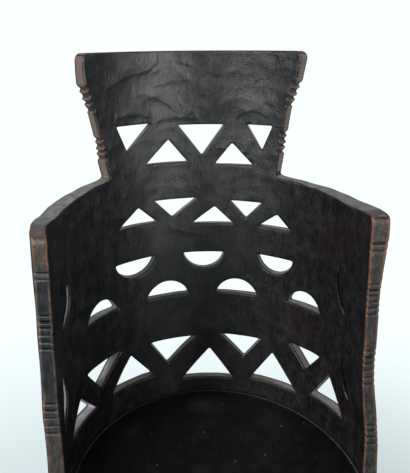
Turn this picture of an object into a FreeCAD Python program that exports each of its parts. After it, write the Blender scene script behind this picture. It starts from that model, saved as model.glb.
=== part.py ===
import FreeCAD, Part
import math
import os
from FreeCAD import Placement, Rotation, Vector
from Sketcher import Constraint

# A high-backed barrel chair hewn from one log. The log is hollowed from above down to a ledge, where a
# round seat board rests, and from below into four legs. Wooden pegs hold the board. The wall behind the
# sitter is pierced with zigzags of triangles and rows of half-moons, and rises into a flared headpiece.
# The chair faces -Y. The origin is on the floor, in the middle of the chair's width and depth.

SIZES = {
    # The log, outside: how far it reaches from its widest line, at the floor and at the top
    "height": 965,
    "depth": 502,
    "foot_half_width": 238,
    "head_half_width": 232,
    "foot_back_reach": 297,
    # How far in front of the origin the widest line of the log lies: the barrel leans back as it rises
    "foot_axis": 51,
    "head_axis": 4,
    # Walls left by the hollowing
    "side_wall": 23.5,
    "back_wall": 18.5,
    "head_side_wall": 25,
    "head_back_wall": 15,
    "leg_wall": 42,
    # Seat board
    "seat_height": 370,
    "seat_thickness": 32,
    "seat_clearance": 0.5,
    "seat_arris": 2,
    "dish_radius": 168,
    "dish_depth": 7,
    "dish_axis": 9,
    # Legs: arches cut through the foot of the log, front to back and side to side
    "arch_foot_half_width": 126,
    "arch_spring_half_width": 112,
    "arch_spring_height": 168,
    "arch_height": 248,
    "side_arch_axis": 5,
    # Arms: their front edges stand this far in front of the origin, as the carver left them, and end
    # in a sloping cap below the rim. The rim sags a little between the arm and the headpiece.
    "arm_front_left": 69,
    "arm_front_right": 35,
    "arm_cap_rise": 13,
    "arm_cap_depth": 7,
    "rim_front_height": 769,
    "rim_sag_height": 757,
    "rim_sag_past": 85,
    "rim_corner_past": 182,
    # Groups of small V cuts run across the front edges of the arms and the sides of the headpiece
    "arm_notch_depth": 3,
    "head_notch_depth": 5,
    # Headpiece: turn of the cut at each shoulder (degrees), and how far the wall runs past the middle
    # of that cut at the neck, the waist, the brow and the top, whose corners are rounded
    "shoulder_turn_left": 48,
    "shoulder_turn_right": 44,
    "neck_height_left": 778,
    "neck_height_right": 772,
    "waist_height": 878,
    "brow_height": 922,
    "neck_past_left": 63,
    "waist_past_left": 37,
    "brow_past_left": 19,
    "head_past_left": 18,
    "neck_past_right": 65,
    "waist_past_right": 49,
    "brow_past_right": 33,
    "head_past_right": 26,
    "head_corner": 8,
    # Openwork, heights above the seat: a flat side and a tip for each kind of opening
    "low_peak_half_width": 45,
    "low_peak_flat": 40,
    "low_peak_tip": 94,
    "low_valley_half_width": 40,
    "low_valley_flat": 114,
    "low_valley_tip": 71,
    "moon_half_width": 36,
    "rising_moon_flat": 191,
    "rising_moon_tip": 218,
    "setting_moon_flat": 265,
    "setting_moon_tip": 235,
    "high_peak_half_width": 36,
    "high_peak_flat": 316,
    "high_peak_tip": 345,
    "high_valley_half_width": 37,
    "high_valley_flat": 357,
    "high_valley_tip": 326,
    "head_peak_half_width": 35,
    "head_peak_flat": 418,
    "head_peak_tip": 455,
    "head_valley_half_width": 37,
    "head_valley_flat": 482,
    "head_valley_tip": 437,
    # Leaning half-moons in the side walls, flat side to the front
    "side_moon_width": 20,
    "side_moon_half_height": 36,
    "side_moon_low": 124,
    "side_moon_high": 255,
    # Turn from one opening of a zigzag to the next of its kind (degrees)
    "opening_pitch": 30,
    # Pegs through the wall into the edge of the seat board
    "peg_count": 6,
    "peg_sides": 8,
    "peg_radius": 6,
    "peg_length": 56,
    "peg_proud": 2,
    "peg_clearance": 0.15,
    # How far the cuts that open the front and shape the headpiece run out above the log
    "cut_overrun": 60,
}

# One row for each opening: its turn from the middle of the back as a share of the pitch, its width as a
# share of the usual one, how far its tip wanders as a share of its half width, and how far its flat side
# and its tip were cut above or below their usual heights, as shares of the height between the two
OPENING_SHARES = {
    "low_peak": (
        (-2.04, 1.09, 0.02, 0.11, -0.06),
        (-0.93, 1.02, -0.01, 0.09, 0.09),
        (0.13, 1.02, 0.08, -0.27, -0.20),
        (1.04, 1.01, -0.10, -0.15, -0.06),
        (2.00, 0.94, 0, 0.08, 0.17),
    ),
    "low_valley": (
        (-1.43, 1.12, -0.17, 0.05, 0.02),
        (-0.31, 1.08, -0.25, -0.15, -0.26),
        (0.56, 0.96, 0.15, -0.07, -0.05),
        (1.52, 0.83, 0.05, 0.17, 0.30),
    ),
    "rising_moon": (
        (-1.40, 1.08, 0, 0.06, 0.04),
        (-0.37, 1.07, 0, -0.06, -0.07),
        (0.50, 0.99, 0, -0.02, -0.04),
        (1.47, 0.97, 0, 0.09, 0.07),
    ),
    "setting_moon": (
        (-0.80, 1.10, 0, 0, 0),
        (0.09, 0.97, 0, -0.03, 0),
        (1.00, 0.91, 0, 0.02, 0.03),
    ),
    "high_peak": (
        (-0.74, 1.04, 0.08, 0.22, 0.24),
        (0.20, 0.98, 0.10, -0.05, -0.03),
        (0.98, 0.84, 0.13, -0.05, -0.21),
    ),
    "high_valley": (
        (-0.24, 1.02, -0.14, 0.06, 0.03),
        (0.60, 0.78, 0, -0.08, -0.03),
    ),
    "head_peak": (
        (-0.34, 1.04, 0.12, 0.05, 0.08),
        (0.45, 0.91, -0.10, -0.08, -0.11),
    ),
    "head_valley": (
        (-0.74, 0.86, -0.37, 0.07, 0.11),
        (0.07, 1.02, 0.04, -0.04, -0.16),
        (0.75, 0.58, 0.18, -0.02, 0.07),
    ),
}
# The half-moons beside the arms, left and right: turn and size shares, and how far the upper end leans
# back, as a share of the half height
SIDE_MOON_SHARES = {
    "low": ((-2.65, 1.10, 0.30), (2.44, 1.04, 0.20)),
    "high": ((-2.28, 0.93, 0.42), (2.22, 0.99, 0.36)),
}
# Groups of V cuts: where each begins and ends as a share of the way up from the seat, to the rim on the
# arms and to the top on the headpiece, and the number of cuts in it
ARM_NOTCH_SHARES = {
    "left": ((0.308, 0.444, 5), (0.614, 0.749, 6), (0.845, 0.885, 2)),
    "right": ((0.118, 0.216, 4), (0.358, 0.514, 6), (0.629, 0.759, 6), (0.855, 0.905, 2)),
}
HEAD_NOTCH_SHARES = {"waist": (0.734, 0.798, 4), "brow": (0.859, 0.926, 4)}
PEG_TURN_SHARES = tuple((number + 1 / 2) / SIZES["peg_count"] for number in range(SIZES["peg_count"]))

doc = FreeCAD.newDocument("BarrelChair")
sheet = doc.addObject("Spreadsheet::Sheet", "size")
for row, (name, amount) in enumerate(SIZES.items(), start=1):
    sheet.set(f"A{row}", name)
    sheet.set(f"B{row}", str(amount))
    sheet.setAlias(f"B{row}", name)
doc.recompute()


def value(expression):
    """Read an expression in named sizes as a number."""
    return float(FreeCAD.Units.Quantity(sheet.evalExpression(expression)).Value)


def between(foot, head, level):
    """A size that changes evenly from the floor to the top of the log, at one level."""
    return f"({foot} + ({head} - {foot}) * ({level}) / size.height)"


LEDGE = "(size.seat_height - size.seat_thickness)"
SEAT_AXIS = between("size.foot_axis", "size.head_axis", "size.seat_height")


def plane(body, role):
    return next(datum for datum in body.Origin.OriginFeatures if datum.Role == role)


def new_sketch(body, name, role, offsets=None, turn=None):
    """A sketch on one of the body's own planes, moved off it or turned about its upright axis."""
    sketch = body.newObject("Sketcher::SketchObject", name)
    sketch.AttachmentSupport = (plane(body, role), [""])
    sketch.MapMode = "FlatFace"
    if turn:
        sketch.AttachmentOffset = Placement(Vector(), Rotation(Vector(0, 1, 0), value(turn)))
        sketch.setExpression("AttachmentOffset.Rotation.Angle", turn)
    for axis, distance in (offsets or {}).items():
        sketch.setExpression(f"AttachmentOffset.Base.{axis}", distance)
    return sketch


def bind(sketch, kind, places, expression):
    """Add a dimension to the sketch and tie it to named sizes."""
    index = sketch.addConstraint(Constraint(kind, *places, value(expression)))
    sketch.setExpression(f"Constraints[{index}]", expression)


def half_ellipse(sketch, half_width, reach, axis, side):
    """The back half (side 1) or front half (side -1) of a hewn section, on its widest line."""
    wide, deep, middle = value(half_width), value(reach), Vector(0, -value(axis), 0)
    if deep > wide:
        long_end = middle + Vector(0, side * deep, 0)
        short_end = middle - Vector(side * wide, 0, 0)
        ellipse = Part.Ellipse(long_end, short_end, middle)
        arc = Part.ArcOfEllipse(ellipse, -math.pi / 2, math.pi / 2)
    else:
        ellipse = Part.Ellipse(middle + Vector(wide, 0, 0), middle + Vector(0, deep, 0), middle)
        start = 0 if side > 0 else math.pi
        arc = Part.ArcOfEllipse(ellipse, start, start + math.pi)
    index = sketch.addGeometry(arc, False)
    sketch.exposeInternalGeometry(index)
    long_line, short_line = index + 1, index + 2
    deep_line = long_line if deep > wide else short_line
    wide_line = short_line if deep > wide else long_line
    sketch.addConstraint(Constraint("Vertical", deep_line))
    bind(sketch, "Distance", (deep_line,), f"2 * {reach}")
    return index, wide_line


def hewn_section(body, name, level, half_width, back_reach, front_reach, axis):
    """A level section of the log: half an ellipse behind its widest line and half in front."""
    sketch = new_sketch(body, name, "XY_Plane", offsets={"z": level})
    back, wide_line = half_ellipse(sketch, half_width, back_reach, axis, 1)
    front, _ = half_ellipse(sketch, half_width, front_reach, axis, -1)
    bind(sketch, "Distance", (wide_line,), f"2 * {half_width}")
    sketch.addConstraint(Constraint("PointOnObject", back, 3, -2))
    bind(sketch, "DistanceY", (back, 3, -1, 1), axis)
    sketch.addConstraint(Constraint("Horizontal", back, 1, back, 3))
    sketch.addConstraint(Constraint("Horizontal", back, 2, back, 3))
    sketch.addConstraint(Constraint("Coincident", front, 3, back, 3))
    sketch.addConstraint(Constraint("Coincident", front, 1, back, 2))
    sketch.addConstraint(Constraint("Horizontal", front, 2, front, 3))
    return sketch


def log_section(body, name, level, side_inset="0", back_inset="0"):
    """A section of the log at one level, drawn in by a wall at the sides, and at the back and front."""
    axis = between("size.foot_axis", "size.head_axis", level)
    head_back_reach = "(size.depth / 2 + size.head_axis)"
    half_width = between("size.foot_half_width", "size.head_half_width", level)
    back_reach = between("size.foot_back_reach", head_back_reach, level)
    inner_half_width = f"({half_width} - {side_inset})"
    inner_back_reach = f"({back_reach} - {back_inset})"
    inner_front_reach = f"(size.depth / 2 - {axis} - {back_inset})"
    return hewn_section(body, name, level, inner_half_width, inner_back_reach, inner_front_reach, axis)


def loft(body, kind, name, sections):
    feature = body.newObject(f"PartDesign::{kind}Loft", name)
    feature.Profile = sections[0]
    feature.Sections = sections[1:]
    feature.Ruled = True
    return feature


def outline(sketch, corners):
    """A closed outline of straight sides, each corner placed by two expressions from the sketch's origin."""
    points = [Vector(value(across), value(up), 0) for across, up in corners]
    lines = [sketch.addGeometry(Part.LineSegment(start, end), False)
             for start, end in zip(points, points[1:] + points[:1])]
    for line, following in zip(lines, lines[1:] + lines[:1]):
        sketch.addConstraint(Constraint("Coincident", line, 2, following, 1))
    for line, (across, up) in zip(lines, corners):
        for kind, distance, on_axis in (("DistanceX", across, -2), ("DistanceY", up, -1)):
            if distance == "0":
                sketch.addConstraint(Constraint("PointOnObject", line, 1, on_axis))
            elif value(distance) < 0:
                bind(sketch, kind, (line, 1, -1, 1), f"-1 * ({distance})")
            else:
                bind(sketch, kind, (-1, 1, line, 1), distance)


def half_moon(sketch, half_width, flat, tip):
    """A flat side across and an arc that reaches the tip, above or below it."""
    rise = f"({tip} - {flat})"
    radius = f"(({half_width}) ^ 2 + {rise} ^ 2) / (2 * abs({rise}))"
    wide, level, top = value(half_width), value(flat), value(tip)
    left, right = Vector(-wide, level, 0), Vector(wide, level, 0)
    chord = sketch.addGeometry(Part.LineSegment(left, right), False)
    arc = sketch.addGeometry(Part.Arc(right, Vector(0, top, 0), left), False)
    ends = (2, 1) if top < level else (1, 2)
    sketch.addConstraint(Constraint("Coincident", arc, ends[0], chord, 2))
    sketch.addConstraint(Constraint("Coincident", arc, ends[1], chord, 1))
    sketch.addConstraint(Constraint("Horizontal", chord))
    sketch.addConstraint(Constraint("PointOnObject", arc, 3, -2))
    bind(sketch, "DistanceX", (chord, 1, -2, 1), half_width)
    bind(sketch, "DistanceY", (-1, 1, chord, 1), flat)
    bind(sketch, "Radius", (arc,), radius)


def pocket(body, name, sketch, reach=None, both_ways=False, reverse=False):
    """Cut a sketch's outline away: both ways through all, or one way as far as its reach."""
    feature = body.newObject("PartDesign::Pocket", name)
    feature.Profile = sketch
    if both_ways:
        feature.Type = "ThroughAll"
        feature.Midplane = True
    else:
        feature.Length = value(reach)
        feature.setExpression("Length", reach)
        feature.Reversed = reverse
    return feature


# The log: outside, the tub above the ledge and the hollow between the legs
shell = doc.addObject("PartDesign::Body", "shell_body")
loft(shell, "Additive", "log", [
    log_section(shell, "log_foot", "0"),
    log_section(shell, "log_head", "size.height"),
])
loft(shell, "Subtractive", "tub", [
    log_section(shell, "tub_ledge", LEDGE, "size.side_wall", "size.back_wall"),
    log_section(shell, "tub_head", "size.height", "size.head_side_wall", "size.head_back_wall"),
])
loft(shell, "Subtractive", "leg_hollow", [
    log_section(shell, "hollow_foot", "0", "size.leg_wall", "size.leg_wall"),
    log_section(shell, "hollow_ledge", LEDGE, "size.leg_wall", "size.leg_wall"),
])


def leg_arch(name, role, axis):
    """An arch with leaning jambs and a half-moon head, through the whole foot of the log."""
    sketch = new_sketch(shell, f"{name}_outline", role, offsets={"x": axis})
    foot, spring, crown = "size.arch_foot_half_width", "size.arch_spring_half_width", "size.arch_height"
    level = "size.arch_spring_height"
    rise = f"({crown} - {level})"
    corners = [Vector(value(f"-1 * {spring}"), value(level), 0), Vector(value(f"-1 * {foot}"), 0, 0),
               Vector(value(foot), 0, 0), Vector(value(spring), value(level), 0)]
    left_jamb, sill, right_jamb = (sketch.addGeometry(Part.LineSegment(start, end), False)
                                   for start, end in zip(corners, corners[1:]))
    head = sketch.addGeometry(Part.Arc(corners[3], Vector(0, value(crown), 0), corners[0]), False)
    for first, second in ((left_jamb, sill), (sill, right_jamb)):
        sketch.addConstraint(Constraint("Coincident", first, 2, second, 1))
    sketch.addConstraint(Constraint("Coincident", right_jamb, 2, head, 1))
    sketch.addConstraint(Constraint("Coincident", head, 2, left_jamb, 1))
    sketch.addConstraint(Constraint("Symmetric", sill, 1, sill, 2, -1, 1))
    bind(sketch, "DistanceX", (sill, 1, sill, 2), f"2 * {foot}")
    bind(sketch, "DistanceX", (left_jamb, 1, -1, 1), spring)
    bind(sketch, "DistanceY", (-1, 1, left_jamb, 1), level)
    sketch.addConstraint(Constraint("PointOnObject", head, 3, -2))
    bind(sketch, "Radius", (head,), f"({spring} ^ 2 + {rise} ^ 2) / (2 * {rise})")
    pocket(shell, name, sketch, both_ways=True)


leg_arch("front_arch", "XZ_Plane", "0")
leg_arch("side_arch", "YZ_Plane", "-1 * size.side_arch_axis")

def straight(low_place, low, high_place, high, level):
    """The place at one level on a straight edge between two corners."""
    return f"({low_place} + ({high_place} - {low_place}) * ({level} - {low}) / ({high} - {low}))"


def notched(low_corner, high_corner, into, start, end, group, depth):
    """The corners of a group of V cuts on an edge. Their valleys lie deeper in the wood than the edge."""
    low_share, high_share, count = group
    corners = []
    for number in range(2 * count + 1):
        share = low_share + (high_share - low_share) * number / (2 * count)
        level = f"({start} + {share} * ({end} - {start}))"
        place = straight(*low_corner, *high_corner, level)
        corners.append((f"({place} + {into} * {depth})" if number % 2 else place, level))
    return corners


# The open front: on each side the wall above the seat ends at the notched front edge of the arm
TOP = "(size.height + size.cut_overrun)"
for hand, reverse in (("left", False), ("right", True)):
    front = f"-1 * size.arm_front_{hand}"
    foot, cap = (front, "size.seat_height"), (front, "(size.rim_front_height - size.arm_cap_rise)")
    corners = [foot]
    for group in ARM_NOTCH_SHARES[hand]:
        corners += notched(foot, cap, 1, foot[1], "size.rim_front_height", group, "size.arm_notch_depth")
    corners += [
        cap,
        (f"{front} + size.arm_cap_depth", "size.rim_front_height"),
        (f"{front} + size.arm_cap_depth", TOP),
        ("-1 * size.depth", TOP),
        ("-1 * size.depth", "size.seat_height"),
    ]
    sketch = new_sketch(shell, f"{hand}_front_outline", "YZ_Plane")
    outline(sketch, corners)
    pocket(shell, f"{hand}_front", sketch, reach="size.depth", reverse=reverse)

# The shoulders: the rim falls from the neck, sags and rises to the arm. The headpiece flares as it rises,
# with a group of V cuts between the neck and the waist and another between the waist and the brow.
for hand, side in (("left", 1), ("right", -1)):
    neck = (f"{side} * size.neck_past_{hand}", f"size.neck_height_{hand}")
    waist = (f"{side} * size.waist_past_{hand}", "size.waist_height")
    brow = (f"{side} * size.brow_past_{hand}", "size.brow_height")
    corners = [neck]
    for low_corner, high_corner, part in ((neck, waist, "waist"), (waist, brow, "brow")):
        corners += notched(low_corner, high_corner, side, "size.seat_height", "size.height",
                           HEAD_NOTCH_SHARES[part], "size.head_notch_depth")
        corners.append(high_corner)
    corners += [
        (f"{side} * size.head_past_{hand}", "size.height - size.head_corner"),
        (f"{side} * (size.head_past_{hand} + size.head_corner)", "size.height"),
        (f"{side} * (size.head_past_{hand} + size.head_corner)", TOP),
        (f"{-side} * size.depth", TOP),
        (f"{-side} * size.depth", "size.rim_front_height"),
        (f"{-side} * size.rim_corner_past", "size.rim_front_height"),
        (f"{-side} * size.rim_sag_past", "size.rim_sag_height"),
    ]
    turn = f"{side} * size.shoulder_turn_{hand} * 1 deg"
    sketch = new_sketch(shell, f"{hand}_shoulder_outline", "XZ_Plane", offsets={"z": SEAT_AXIS}, turn=turn)
    outline(sketch, corners)
    pocket(shell, f"{hand}_shoulder", sketch, reach="size.depth")


def triangle(sketch, half_width, flat, tip, wander):
    """A triangle on a level side, its tip above or below."""
    outline(sketch, [(f"-1 * {half_width}", flat), (half_width, flat), (wander, tip)])


def leaning_moon(sketch, side, level, size_share, lean_share):
    """A half-moon on end, its flat side leaning through a level and its arc towards the back."""
    tall = f"{size_share} * size.side_moon_half_height"
    lean = f"{lean_share} * {tall}"
    half_chord = f"({tall} * sqrt(1 + {lean_share} ^ 2))"
    wide = f"({size_share} * size.side_moon_width)"
    low = Vector(-side * value(lean), value(f"{level} - {tall}"), 0)
    high = Vector(side * value(lean), value(f"{level} + {tall}"), 0)
    outward = Vector(high.y - low.y, low.x - high.x, 0).normalize() * side
    tip = (low + high) / 2 + outward * value(wide)
    chord = sketch.addGeometry(Part.LineSegment(low, high), False)
    arc = sketch.addGeometry(Part.Arc(low, tip, high), False)
    ends = (1, 2) if side > 0 else (2, 1)
    sketch.addConstraint(Constraint("Coincident", arc, ends[0], chord, 1))
    sketch.addConstraint(Constraint("Coincident", arc, ends[1], chord, 2))
    if side > 0:
        bind(sketch, "DistanceX", (chord, 1, -1, 1), lean)
        bind(sketch, "DistanceX", (-1, 1, chord, 2), lean)
    else:
        bind(sketch, "DistanceX", (-1, 1, chord, 1), lean)
        bind(sketch, "DistanceX", (chord, 2, -1, 1), lean)
    bind(sketch, "DistanceY", (-1, 1, chord, 1), f"{level} - {tall}")
    bind(sketch, "DistanceY", (-1, 1, chord, 2), f"{level} + {tall}")
    bind(sketch, "Radius", (arc,), f"({half_chord} ^ 2 + {wide} ^ 2) / (2 * {wide})")


# The openwork: each opening is cut straight out through the wall from the axis of the seat
for kind, row in OPENING_SHARES.items():
    moon = kind.endswith("moon")
    usual = "size.moon_half_width" if moon else f"size.{kind}_half_width"
    rise = f"abs(size.{kind}_tip - size.{kind}_flat)"
    for number, (turn_share, width_share, wander_share, flat_share, tip_share) in enumerate(row, start=1):
        turn = f"{-turn_share} * size.opening_pitch * 1 deg"
        name = f"{kind}_{number}"
        sketch = new_sketch(shell, f"{name}_outline", "XZ_Plane", offsets={"z": SEAT_AXIS}, turn=turn)
        half_width = f"({width_share} * {usual})"
        flat = f"(size.seat_height + size.{kind}_flat + {flat_share} * {rise})"
        tip = f"(size.seat_height + size.{kind}_tip + {tip_share} * {rise})"
        if moon:
            half_moon(sketch, half_width, flat, tip)
        else:
            triangle(sketch, half_width, flat, tip, f"{wander_share} * {half_width}" if wander_share else "0")
        pocket(shell, name, sketch, reach="size.depth")

# Two leaning half-moons in each side wall, near the arm
for height, row in SIDE_MOON_SHARES.items():
    for turn_share, size_share, lean_share in row:
        side, hand = (-1, "right") if turn_share > 0 else (1, "left")
        turn = f"{-turn_share} * size.opening_pitch * 1 deg"
        name = f"side_moon_{height}_{hand}"
        sketch = new_sketch(shell, f"{name}_outline", "XZ_Plane", offsets={"z": SEAT_AXIS}, turn=turn)
        leaning_moon(sketch, side, f"(size.seat_height + size.side_moon_{height})", size_share, lean_share)
        pocket(shell, name, sketch, reach="size.depth")

# The seat board: the shape of the tub above its ledge, a little smaller, dished, with a worn edge
board = doc.addObject("PartDesign::Body", "board_body")
side_inset = "(size.side_wall + size.seat_clearance)"
back_inset = "(size.back_wall + size.seat_clearance)"
shoulder_level = "(size.seat_height - size.seat_arris)"
loft(board, "Additive", "blank", [
    log_section(board, "blank_under", LEDGE, side_inset, back_inset),
    log_section(board, "blank_shoulder", shoulder_level, side_inset, back_inset),
])
loft(board, "Additive", "arris", [
    log_section(board, "arris_foot", shoulder_level, side_inset, back_inset),
    log_section(board, "arris_top", "size.seat_height", f"({side_inset} + size.seat_arris)",
                f"({back_inset} + size.seat_arris)"),
])
dish_place = {"x": "-1 * size.dish_axis", "y": "size.seat_height"}
sketch = new_sketch(board, "dish_outline", "YZ_Plane", offsets=dish_place)
rim, bottom = Vector(value("size.dish_radius"), 0, 0), Vector(0, -value("size.dish_depth"), 0)
dish_radius = "(size.dish_radius ^ 2 + size.dish_depth ^ 2) / (2 * size.dish_depth)"
bow_centre = Vector(0, value(dish_radius), 0) + bottom
bow_start = 1.5 * math.pi
bow_end = bow_start + math.atan2(rim.x, bow_centre.y)
surface = sketch.addGeometry(Part.LineSegment(Vector(), rim), False)
middle = sketch.addGeometry(Part.LineSegment(bottom, Vector()), False)
bow = sketch.addGeometry(Part.ArcOfCircle(Part.Circle(bow_centre, Vector(0, 0, 1), value(dish_radius)),
                                          bow_start, bow_end), False)
sketch.addConstraint(Constraint("Coincident", surface, 1, -1, 1))
sketch.addConstraint(Constraint("Horizontal", surface))
sketch.addConstraint(Constraint("Coincident", middle, 2, surface, 1))
sketch.addConstraint(Constraint("Vertical", middle))
sketch.addConstraint(Constraint("Coincident", bow, 1, middle, 1))
sketch.addConstraint(Constraint("Coincident", bow, 2, surface, 2))
bind(sketch, "DistanceX", (surface, 1, surface, 2), "size.dish_radius")
bind(sketch, "DistanceY", (middle, 1, middle, 2), "size.dish_depth")
sketch.addConstraint(Constraint("PointOnObject", bow, 3, -2))
dish = board.newObject("PartDesign::Groove", "dish")
dish.Profile = sketch
dish.ReferenceAxis = (sketch, ["V_Axis"])

# The pegs and the holes they are driven into: level, through the wall and into the edge of the board
PEG_LEVEL = "(size.seat_height - size.seat_thickness / 2)"
PEG_AXIS = between("size.foot_axis", "size.head_axis", PEG_LEVEL)
pegs, holes = [], []
for number, turn_share in enumerate(PEG_TURN_SHARES, start=1):
    angle = math.radians(360 * turn_share)
    turn = f"({turn_share} * 360 deg)"
    half_width = between("size.foot_half_width", "size.head_half_width", PEG_LEVEL)
    if math.cos(angle) > 0:
        reach = between("size.foot_back_reach", "(size.depth / 2 + size.head_axis)", PEG_LEVEL)
    else:
        reach = f"(size.depth / 2 - {PEG_AXIS})"
    outside = f"(1 / sqrt((sin({turn}) / {half_width}) ^ 2 + (cos({turn}) / {reach}) ^ 2))"
    for kind, name, radius, slack in (
        ("Part::Prism", "peg", "size.peg_radius", "0"),
        ("Part::Cylinder", "hole", "size.peg_radius + size.peg_clearance", "size.peg_clearance"),
    ):
        inner_end = f"({outside} + size.peg_proud - size.peg_length - {slack})"
        solid = doc.addObject(kind, f"{name}_{number}")
        solid.Placement.Rotation = Rotation(Vector(0, 0, 1), Vector(math.sin(angle), math.cos(angle), 0))
        solid.setExpression("Placement.Base.x", f"{inner_end} * sin({turn})")
        solid.setExpression("Placement.Base.y", f"{inner_end} * cos({turn}) - {PEG_AXIS}")
        solid.setExpression("Placement.Base.z", PEG_LEVEL)
        solid.setExpression("Height", f"size.peg_length + {slack}")
        if kind == "Part::Prism":
            solid.setExpression("Polygon", "size.peg_sides")
            solid.setExpression("Circumradius", radius)
            pegs.append(solid)
        else:
            solid.setExpression("Radius", radius)
            holes.append(solid)

peg_holes = doc.addObject("Part::Compound", "peg_holes")
peg_holes.Links = holes
nodes = []
for name, body in (("hewn_shell", shell), ("seat_board", board)):
    node = doc.addObject("Part::Cut", name)
    node.Base, node.Tool = body, peg_holes
    nodes.append(node)
seat_pegs = doc.addObject("Part::Compound", "seat_pegs")
seat_pegs.Links = pegs
nodes.append(seat_pegs)
doc.recompute()

failed = [item.Name for item in doc.Objects if {"Invalid", "Error"} & set(item.State)]
failed += [node.Label for node in nodes if node.Shape.isNull() or not node.Shape.isValid()]
if failed:
    raise RuntimeError(f"not made: {', '.join(failed)}")
os.makedirs("parts", exist_ok=True)
for node in nodes:
    node.Shape.exportStep(f"parts/{node.Label}.step")
    print(node.Label, len(node.Shape.Solids), "solids", round(node.Shape.Volume), "mm3", node.Shape.BoundBox)
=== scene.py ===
import math

import bpy
import numpy as np
from mathutils import Matrix, Vector, kdtree
from mathutils.geometry import delaunay_2d_cdt


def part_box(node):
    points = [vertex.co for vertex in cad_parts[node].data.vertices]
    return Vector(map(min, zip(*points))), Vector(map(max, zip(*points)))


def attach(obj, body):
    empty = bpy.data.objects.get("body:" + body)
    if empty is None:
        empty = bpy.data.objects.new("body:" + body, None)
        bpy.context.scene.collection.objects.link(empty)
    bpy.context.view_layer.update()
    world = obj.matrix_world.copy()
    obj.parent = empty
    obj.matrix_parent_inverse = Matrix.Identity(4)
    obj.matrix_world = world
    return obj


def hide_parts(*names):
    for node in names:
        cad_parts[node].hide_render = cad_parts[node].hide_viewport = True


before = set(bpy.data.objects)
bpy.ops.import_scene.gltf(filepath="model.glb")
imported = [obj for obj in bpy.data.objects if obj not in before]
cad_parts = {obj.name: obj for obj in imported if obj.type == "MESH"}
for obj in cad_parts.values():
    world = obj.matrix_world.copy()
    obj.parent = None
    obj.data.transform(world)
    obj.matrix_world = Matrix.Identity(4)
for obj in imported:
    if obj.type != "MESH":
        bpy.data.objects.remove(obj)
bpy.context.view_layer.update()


# The log. One length of dense hardwood trunk, hewn outside to a barrel that leans back as it rises,
# hollowed with an adze down to the ledge under the seat, and from below into the space between the legs.
# Every surface is a stack of level sections: half an ellipse behind the widest line and half in front.
shell_low, shell_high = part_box("hewn_shell")
HEIGHT = shell_high.z
HALF_DEPTH = (shell_high.y - shell_low.y) / 2
FOOT_HALF_WIDTH, HEAD_HALF_WIDTH = 0.238, 0.232
FOOT_BACK_REACH = 0.297
FOOT_AXIS, HEAD_AXIS = 0.051, 0.004
SEAT_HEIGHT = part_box("seat_board")[1].z
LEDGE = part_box("seat_board")[0].z
LEG_WALL = 0.042
FOOT_WALLS = np.array((0.0235, 0.0185))
HEAD_WALLS = np.array((0.025, 0.015))
SEAT_AXIS = FOOT_AXIS + (HEAD_AXIS - FOOT_AXIS) * SEAT_HEIGHT / HEIGHT


def outside(level):
    """The walls left by the hewing, at the sides and at the ends: none, on the log's own surface."""
    return 0 * level, 0 * level


def tub(level):
    """The wall beside the tub, which thins from the ledge up to the rim."""
    share = (level - LEDGE) / (HEIGHT - LEDGE)
    return tuple(foot + (head - foot) * share for foot, head in zip(FOOT_WALLS, HEAD_WALLS))


def hollow(level):
    """The wall of the legs, the same all round."""
    return LEG_WALL + 0 * level, LEG_WALL + 0 * level


def log_section(level, wall):
    """Half width, reach to the back and to the front, and how far forward the widest line lies."""
    side, end = wall(level)
    rise = level / HEIGHT
    axis = FOOT_AXIS + (HEAD_AXIS - FOOT_AXIS) * rise
    half_width = FOOT_HALF_WIDTH + (HEAD_HALF_WIDTH - FOOT_HALF_WIDTH) * rise - side
    back = FOOT_BACK_REACH + (HALF_DEPTH + HEAD_AXIS - FOOT_BACK_REACH) * rise - end
    return half_width, back, HALF_DEPTH - axis - end, axis


def on_log(turns, levels, wall):
    """Points of a hewn surface and its outward directions. Turn 0 is the back, a quarter turn the right."""
    half_width, back, front, axis = log_section(levels, wall)
    reach = np.where(np.cos(turns) > 0, back, front)
    points = np.stack((half_width * np.sin(turns), reach * np.cos(turns) - axis, levels), axis=1)
    outward = np.stack((np.sin(turns) / half_width, np.cos(turns) / reach, 0 * turns), axis=1)
    return points, outward / np.linalg.norm(outward, axis=1)[:, None]


def cut_outward(across, levels, bearing, wall):
    """The turns at which a chisel, led straight out from the axis of the seat, comes through a surface."""
    half_width, back, front, axis = log_section(levels, wall)
    x_start, x_step = across * math.cos(bearing), math.sin(bearing)
    y_start, y_step = axis - SEAT_AXIS - across * math.sin(bearing), math.cos(bearing)
    for reach in (back, front):
        square = (x_step / half_width) ** 2 + (y_step / reach) ** 2
        linear = x_start * x_step / half_width ** 2 + y_start * y_step / reach ** 2
        rest = (x_start / half_width) ** 2 + (y_start / reach) ** 2 - 1
        way = (np.sqrt(linear ** 2 - square * rest) - linear) / square
        turns = np.arctan2((x_start + way * x_step) / half_width, (y_start + way * y_step) / reach)
        if reach is back:
            behind = turns
    return np.where(np.cos(behind) > 0, behind, turns)


def cut_across(y, levels, side, wall):
    """The turns at which an upright plane across the chair meets a surface, left (-1) or right (1)."""
    half_width, back, front, axis = log_section(levels, wall)
    ahead = y + axis
    return side * np.arccos(ahead / np.where(ahead > 0, back, front))


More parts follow.
